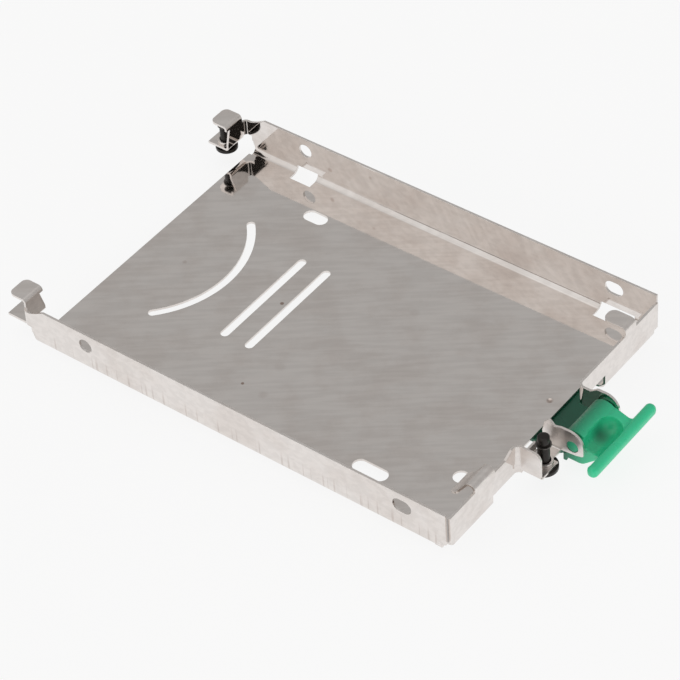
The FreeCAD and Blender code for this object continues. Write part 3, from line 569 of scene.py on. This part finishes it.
class Bench:
    """Modelling steps that the pieces share; work is done in millimetres."""

    FACING = 0.99
    LEVEL_TOLERANCE = 1e-3

    @staticmethod
    def clear() -> None:
        """Deselects everything, in object mode."""
        if bpy.context.object and bpy.context.object.mode != "OBJECT":
            bpy.ops.object.mode_set(mode="OBJECT")
        bpy.ops.object.select_all(action="DESELECT")

    @staticmethod
    def pick(piece: bpy.types.Object) -> None:
        """Makes one piece the selected and active one.

        Args:
            piece: the piece to select.
        """
        Bench.clear()
        piece.select_set(True)
        bpy.context.view_layer.objects.active = piece

    @staticmethod
    def faces(piece: bpy.types.Object, normal: Vector, level: float) -> None:
        """Selects in edit mode the faces that look along a normal at one level.

        Args:
            piece: the piece, in edit mode.
            normal: the direction that the faces look along.
            level: the faces' place along that normal, in millimetres.
        """
        bpy.ops.mesh.select_all(action="DESELECT")
        bpy.ops.object.mode_set(mode="OBJECT")
        for face in piece.data.polygons:
            off_level = abs(face.center.dot(normal) - level)
            face.select = face.normal.dot(normal) > Bench.FACING and off_level < Bench.LEVEL_TOLERANCE
        bpy.ops.object.mode_set(mode="EDIT")

    @staticmethod
    def modify(piece: bpy.types.Object, kind: str, **settings: Any) -> None:
        """Adds a modifier and applies it.

        Args:
            piece: the piece to modify.
            kind: the modifier's type.
            settings: the modifier's properties.
        """
        Bench.pick(piece)
        modifier = piece.modifiers.new(kind.lower(), kind)
        for name, value in settings.items():
            setattr(modifier, name, value)
        bpy.ops.object.modifier_apply(modifier=modifier.name)

    @staticmethod
    def carve(piece: bpy.types.Object, cutter: bpy.types.Object) -> None:
        """Cuts one solid out of a piece and discards the cutter.

        Args:
            piece: the piece to cut.
            cutter: the solid to take away.
        """
        bpy.context.view_layer.update()
        Bench.modify(piece, "BOOLEAN", operation="DIFFERENCE", object=cutter, solver="EXACT")
        bpy.data.objects.remove(cutter)

    @staticmethod
    def finish(piece: bpy.types.Object, name: str, node: str, body: str, slot: Slot,
               material: bpy.types.Material, sharp: float) -> bpy.types.Object:
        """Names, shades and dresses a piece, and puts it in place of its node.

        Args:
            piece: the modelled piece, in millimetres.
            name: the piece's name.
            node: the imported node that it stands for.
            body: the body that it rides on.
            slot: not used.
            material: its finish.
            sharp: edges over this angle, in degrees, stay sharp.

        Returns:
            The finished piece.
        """
        Bench.clear()
        piece.data.transform(piece.matrix_world)
        piece.matrix_world = Matrix.Identity(4)
        piece.data.transform(Matrix.Scale(MM, 4))
        piece.name = name
        piece.data.name = name
        piece.data.materials.clear()
        piece.data.materials.append(material)
        Bench.pick(piece)
        bpy.ops.object.shade_smooth_by_angle(angle=math.radians(sharp))
        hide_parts(node)
        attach(piece, body)
        LOG.info("%s: %d faces on %s", name, len(piece.data.polygons), body)
        return piece


@dataclass
class Tray:
    """The folded steel tray, shown as packed, in its polished finish."""

    finish: SteelFinish = field(default_factory=SteelFinish)

    def build(self, frame: dict[str, Any], groups: FinishGroups) -> None:
        """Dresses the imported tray.

        Args:
            groups: the shared shader groups.
        """
        dress(frame["nodes"]["tray"], self.finish.build(groups))


@dataclass
class LatchLever:
    """The green latch lever, as a soft-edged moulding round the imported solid."""

    node: str = "latch_lever"
    body: str = "lever"
    weld: float = 0.001
    voxel: float = 0.13
    rounds: int = 7
    rounding: float = 0.5
    sharp: float = 60.0
    scoop_setback: float = 3.95
    scoop_start: Pair = (11.2, 1.3)
    scoop_end: Pair = (1.0, 1.4)
    scoop_r: Pair = (2.4, 2.1)
    scoop_sides: int = 64
    scoop_rings: int = 32
    finish: PlasticFinish = field(default_factory=PlasticFinish)

    def build(self, frame: dict[str, Any], groups: FinishGroups) -> bpy.types.Object:
        """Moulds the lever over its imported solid.

        Args:
            groups: the shared shader groups.

        Returns:
            The lever.
        """
        mesh = frame["nodes"][self.node].data.copy()
        mesh.transform(Matrix.Scale(1 / MM, 4))
        lever = bpy.data.objects.new(self.node, mesh)
        bpy.context.scene.collection.objects.link(lever)
        Bench.pick(lever)
        bpy.ops.object.mode_set(mode="EDIT")
        bpy.ops.mesh.select_all(action="SELECT")
        bpy.ops.mesh.remove_doubles(threshold=self.weld)
        bpy.ops.object.mode_set(mode="OBJECT")
        self.scoop(lever)
        Bench.modify(lever, "REMESH", mode="VOXEL", voxel_size=self.voxel)
        Bench.modify(lever, "SMOOTH", factor=self.rounding, iterations=self.rounds)
        return Bench.finish(lever, "moulded_latch_lever", self.node, self.body, Slot.PLASTIC,
                            self.finish.build(groups), self.sharp)

    def scoop(self, lever: bpy.types.Object) -> None:
        """Hollows the finger scoop between the barrel and the grip, open to the near side.

        Args:
            lever: the lever so far, in millimetres.
        """
        low, high = (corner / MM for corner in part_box(self.node))
        across = high.x - self.scoop_setback
        ends = [Vector((across, low.y + run, high.z - drop))
                for run, drop in (self.scoop_start, self.scoop_end)]
        path = ends[1] - ends[0]
        turn = path.to_track_quat("Z", "Y").to_euler()
        Bench.clear()
        bpy.ops.mesh.primitive_cone_add(vertices=self.scoop_sides, radius1=self.scoop_r[0],
                                        radius2=self.scoop_r[1], depth=path.length,
                                        location=(ends[0] + ends[1]) / 2, rotation=turn)
        Bench.carve(lever, bpy.context.object)
        Bench.clear()
        bpy.ops.mesh.primitive_uv_sphere_add(segments=self.scoop_sides, ring_count=self.scoop_rings,
                                             radius=self.scoop_r[0], location=ends[0])
        Bench.carve(lever, bpy.context.object)


@dataclass
class CaptiveScrew:
    """A black captive screw, head down, with a rounded head and a domed tip."""

    node: str
    body: str
    name: str
    head_r: float
    head_height: float = 0.8
    shank_r: float = 1.2
    groove_r: float = 1.0
    groove_rise: float = 5.2
    groove_height: float = 0.3
    dome: float = 0.3
    dome_steps: tuple[Pair, ...] = ((0.94, 0.45), (0.78, 0.1), (0.5, 0.0))
    slot_length: float = 2.6
    slot_width: float = 0.6
    slot_depth: float = 0.4
    sides: int = 64
    bevel: float = 0.09
    bevel_steps: int = 3
    bevel_angle: float = 50.0
    sharp: float = 35.0

    def build(self, frame: dict[str, Any], material: bpy.types.Material) -> bpy.types.Object:
        """Turns the screw from a cylinder, cuts its drive and rounds its edges.

        Args:
            material: the screw's finish.

        Returns:
            The screw.
        """
        low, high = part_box(self.node)
        centre = Vector(((low.x + high.x) / 2 / MM, (low.y + high.y) / 2 / MM, 0))
        bottom, tip = low.z / MM, high.z / MM
        head_top = bottom + self.head_height
        groove = head_top + self.groove_rise
        Bench.clear()
        place = (centre.x, centre.y, (bottom + head_top) / 2)
        bpy.ops.mesh.primitive_cylinder_add(vertices=self.sides, radius=self.head_r, depth=self.head_height,
                                            location=place)
        screw = bpy.context.object
        screw.data.transform(screw.matrix_world)
        screw.matrix_world = Matrix.Identity(4)
        bpy.ops.object.mode_set(mode="EDIT")
        Bench.faces(screw, Vector((0, 0, 1)), head_top)
        steps = [(self.shank_r, head_top), (self.shank_r, groove), (self.groove_r, groove),
                 (self.groove_r, groove + self.groove_height), (self.shank_r, groove + self.groove_height),
                 (self.shank_r, tip - self.dome)]
        steps += [(self.shank_r * share, tip - self.dome * drop) for share, drop in self.dome_steps]
        radius, level = self.head_r, head_top
        for next_radius, next_level in steps:
            ratio = next_radius / radius
            bpy.ops.mesh.extrude_region_move(TRANSFORM_OT_translate={"value": (0, 0, next_level - level)})
            bpy.ops.transform.resize(value=(ratio, ratio, 1),
                                     center_override=(centre.x, centre.y, next_level))
            radius, level = next_radius, next_level
        bpy.ops.mesh.select_all(action="SELECT")
        bpy.ops.mesh.normals_make_consistent(inside=False)
        bpy.ops.object.mode_set(mode="OBJECT")
        self.cut_drive(screw, centre, bottom)
        Bench.modify(screw, "BEVEL", width=self.bevel, segments=self.bevel_steps, limit_method="ANGLE",
                     angle_limit=math.radians(self.bevel_angle))
        return Bench.finish(screw, self.name, self.node, self.body, Slot.SCREW, material, self.sharp)

    def cut_drive(self, screw: bpy.types.Object, centre: Vector, bottom: float) -> None:
        """Cuts the cross-shaped drive into the underside of the head.

        Args:
            screw: the screw so far, in millimetres.
            centre: a point on its axis.
            bottom: the level of its underside.
        """
        for long_x in (True, False):
            Bench.clear()
            bpy.ops.mesh.primitive_cube_add(size=1, location=(centre.x, centre.y, bottom))
            cutter = bpy.context.object
            across = (self.slot_length, self.slot_width) if long_x else (self.slot_width, self.slot_length)
            cutter.scale = (across[0], across[1], 2 * self.slot_depth)
            Bench.carve(screw, cutter)


@dataclass(frozen=True)
class Lamp:
    """A square soft lamp that shines at the caddy, in metres and watts."""

    name: str
    place: Point
    aim: Point = (0.0, 0.0, 0.0)
    size: float = 0.60
    power: float = 2.2

    def hang(self) -> None:
        """Hangs the lamp where polished steel doesn't mirror it."""
        data = bpy.data.lights.new(self.name, "AREA")
        data.shape = "SQUARE"
        data.size = self.size
        data.energy = self.power
        lamp = bpy.data.objects.new(self.name, data)
        bpy.context.scene.collection.objects.link(lamp)
        lamp.location = self.place
        lamp.visible_glossy = False
        lamp.rotation_euler = (Vector(self.aim) - Vector(self.place)).to_track_quat("-Z", "Y").to_euler()


@dataclass
class Studio:
    """White table, soft surroundings and lamps, and the camera."""

    table_half: float = 4.0
    table_gap: float = 0.1 * MM
    table_tint: Colour = (0.14, 0.14, 0.14, 1.0)
    table_rough: float = 0.9
    table_glow: float = 0.845
    glow_tint: Colour = (1.0, 1.0, 1.0, 1.0)
    sky_tint: Colour = (1.0, 0.995, 0.985, 1.0)
    side_band: Pair = (-0.55, 0.50)
    side_light: Pair = (0.88, 0.49)
    above_band: Pair = (0.84, 0.96)
    above_light: Pair = (0.0, 0.40)
    dark_toward: Point = (0.47, -0.554, 0.688)
    dark_band: Pair = (0.83, 0.93)
    dark_light: Pair = (1.0, 0.03)
    lamps: tuple[Lamp, ...] = (Lamp("front_lamp", (0.95, 0.0, 0.22)), Lamp("side_lamp", (0.50, -0.95, 0.25)))
    camera_place: Point = (0.27492, -0.32551, 0.40256)
    camera_turn: Point = (46.4565, 3.3521, 37.1187)
    lens: float = 157.133
    sensor: float = 36.0
    clip_start: float = 0.01

    def table(self, level: float) -> bpy.types.Object:
        """Lays the pale table under the caddy.

        Args:
            level: the height of the table's top.

        Returns:
            The table.
        """
        Bench.clear()
        bpy.ops.mesh.primitive_plane_add(size=2 * self.table_half, location=(0, 0, level))
        table = bpy.context.object
        table.name = "table"
        table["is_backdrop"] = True
        material = bpy.data.materials.new("pale_table")
        material.use_nodes = True
        shader = material.node_tree.nodes["Principled BSDF"]
        shader.inputs["Base Color"].default_value = self.table_tint
        shader.inputs["Roughness"].default_value = self.table_rough
        shader.inputs["Specular IOR Level"].default_value = 0.0
        shader.inputs["Emission Color"].default_value = self.glow_tint
        shader.inputs["Emission Strength"].default_value = self.table_glow
        table.data.materials.append(material)
        return table

    def surroundings(self) -> None:
        """Fills the world with a soft studio: bright overhead, grey far off, dark behind the camera."""
        world = bpy.data.worlds.new("studio")
        bpy.context.scene.world = world
        world.use_nodes = True
        graph = Graph(world.node_tree)
        backdrop = world.node_tree.nodes["Background"]
        place = graph.add("ShaderNodeTexCoord")
        axes = graph.add("ShaderNodeSeparateXYZ", {0: place.outputs["Generated"]})
        side = graph.remap(axes.outputs[1], *self.side_band, *self.side_light)
        above = graph.remap(axes.outputs[2], *self.above_band, *self.above_light)
        light = graph.math("ADD", side, above)
        toward = graph.add("ShaderNodeVectorMath", {0: place.outputs["Generated"], 1: self.dark_toward},
                           operation="DOT_PRODUCT")
        dark = graph.remap(toward.outputs["Value"], *self.dark_band, *self.dark_light)
        light = graph.math("MULTIPLY", light, dark)
        graph.tree.links.new(light, backdrop.inputs["Strength"])
        backdrop.inputs["Color"].default_value = self.sky_tint

    def camera(self) -> None:
        """Sets the camera at the photograph's place and angle."""
        data = bpy.data.cameras.new("camera")
        data.lens = self.lens
        data.sensor_width = self.sensor
        data.clip_start = self.clip_start
        camera = bpy.data.objects.new("camera", data)
        bpy.context.scene.collection.objects.link(camera)
        camera.location = self.camera_place
        camera.rotation_euler = Euler([math.radians(a) for a in self.camera_turn], "XYZ")
        bpy.context.scene.camera = camera

    def build(self, level: float) -> None:
        """Sets up the whole studio.

        Args:
            level: the height of the table's top.
        """
        self.table(level)
        self.surroundings()
        for lamp in self.lamps:
            lamp.hang()
        self.camera()
        bpy.context.scene.view_settings.view_transform = "Standard"


OXIDE = BlackFinish("black_oxide")
RING_STEEL = BlackFinish("dark_ring_steel", colour=(0.10, 0.092, 0.086, 1.0), metal=0.9)
SCREW_HEAD_R = {"front": 2.85, "rear": 2.4}


def dress(node: bpy.types.Object, material: bpy.types.Material) -> None:
    """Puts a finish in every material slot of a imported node.

    Args:
        node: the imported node's object.
        material: the finish.
    """
    if not node.data.materials:
        node.data.materials.append(material)
    for slot in node.material_slots:
        slot.material = material
    LOG.info("%s: dressed in %s", node.name, material.name)


def main() -> None:
    """Builds the studio and dresses the caddy."""
    logging.basicConfig(level=logging.INFO, format="%(name)s %(message)s")
    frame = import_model()
    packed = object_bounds()
    groups = FinishGroups()
    Tray().build(frame, groups)
    LatchLever().build(frame, groups)
    black = OXIDE.build(groups)
    ring = RING_STEEL.build(groups)
    for place, head_r in SCREW_HEAD_R.items():
        screw = CaptiveScrew(f"{place}_captive_screw", f"{place}_screw", f"turned_{place}_screw", head_r)
        screw.build(frame, black)
        dress(frame["nodes"][f"{place}_screw_ring"], ring)
    studio = Studio()
    studio.build(packed[0].z - studio.table_gap)


if __name__ == "__main__":
    main()
